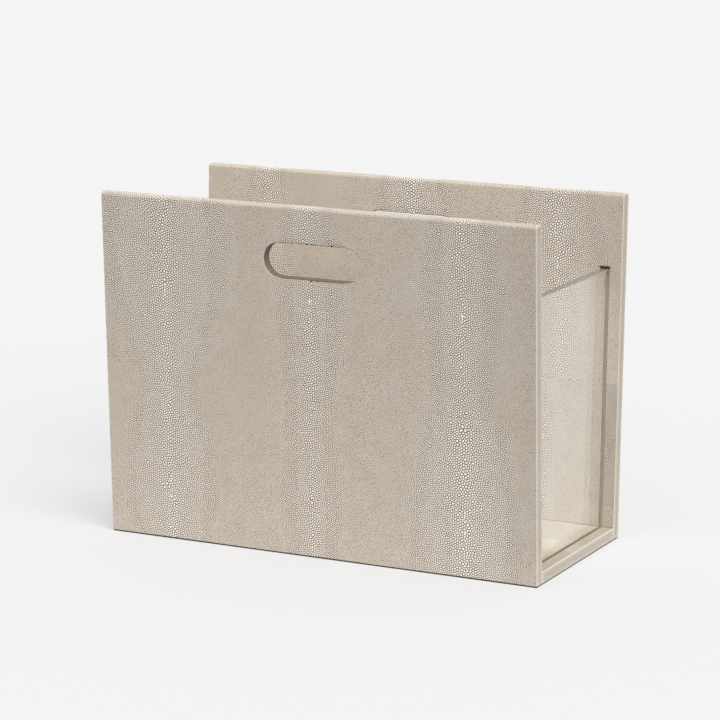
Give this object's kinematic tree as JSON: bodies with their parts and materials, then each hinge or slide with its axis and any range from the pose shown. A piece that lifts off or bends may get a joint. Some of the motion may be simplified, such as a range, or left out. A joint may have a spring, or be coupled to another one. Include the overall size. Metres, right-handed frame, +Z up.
{
  "type": "magazine holder",
  "caption": "Free-standing magazine holder: two outward-leaning side boards with hand slots, covered in pebbled shagreen hides, joined by a floor and clear end panels; open at the top.",
  "frame": {"origin": "middle of the underside, on the surface the holder stands on", "axes": "+X along the holder's length, +Y towards its back board, +Z up"},
  "size_m": [0.41, 0.1994, 0.3053],
  "materials": {
    "shagreen_hide": "pebbled, satin, ivory beads over greige",
    "fine_shagreen": "fine grain, satin",
    "fibreboard": "matt, dark stained",
    "clear_acrylic": "polished, clear",
    "dark_felt": "matt felt",
    "beech_dowel": "plain wood"
  },
  "bodies": {
    "root": {"back_board": "fibreboard", "back_end_strip_left": "fine_shagreen", "back_end_strip_right": "fine_shagreen", "back_handle_lining": "fine_shagreen", "back_inner_groove_strip_left": "shagreen_hide", "back_inner_groove_strip_right": "shagreen_hide", "back_inner_hide_lower_left": "shagreen_hide", "back_inner_hide_lower_middle": "shagreen_hide", "back_inner_hide_lower_right": "shagreen_hide", "back_inner_hide_upper_left": "shagreen_hide", "back_inner_hide_upper_middle": "shagreen_hide", "back_inner_hide_upper_right": "shagreen_hide", "back_outer_hide_lower_left": "shagreen_hide", "back_outer_hide_lower_middle": "shagreen_hide", "back_outer_hide_lower_right": "shagreen_hide", "back_outer_hide_upper_left": "shagreen_hide", "back_outer_hide_upper_middle": "shagreen_hide", "back_outer_hide_upper_right": "shagreen_hide", "base_board": "fibreboard", "base_end_strip_left": "fine_shagreen", "base_end_strip_right": "fine_shagreen", "dowel_back_1": "beech_dowel", "dowel_back_2": "beech_dowel", "dowel_back_3": "beech_dowel", "dowel_back_4": "beech_dowel", "dowel_front_1": "beech_dowel", "dowel_front_2": "beech_dowel", "dowel_front_3": "beech_dowel", "dowel_front_4": "beech_dowel", "floor_groove_strip_left": "shagreen_hide", "floor_groove_strip_right": "shagreen_hide", "floor_hide": "shagreen_hide", "front_board": "fibreboard", "front_end_strip_left": "fine_shagreen", "front_end_strip_right": "fine_shagreen", "front_handle_lining": "fine_shagreen", "front_inner_groove_strip_left": "shagreen_hide", "front_inner_groove_strip_right": "shagreen_hide", "front_inner_hide_lower_left": "shagreen_hide", "front_inner_hide_lower_middle": "shagreen_hide", "front_inner_hide_lower_right": "shagreen_hide", "front_inner_hide_upper_left": "shagreen_hide", "front_inner_hide_upper_middle": "shagreen_hide", "front_inner_hide_upper_right": "shagreen_hide", "front_outer_hide_lower_left": "shagreen_hide", "front_outer_hide_lower_middle": "shagreen_hide", "front_outer_hide_lower_right": "shagreen_hide", "front_outer_hide_upper_left": "shagreen_hide", "front_outer_hide_upper_middle": "shagreen_hide", "front_outer_hide_upper_right": "shagreen_hide", "left_end_panel": "clear_acrylic", "right_end_panel": "clear_acrylic", "underside_felt": "dark_felt"}
  },
  "joints": []
}
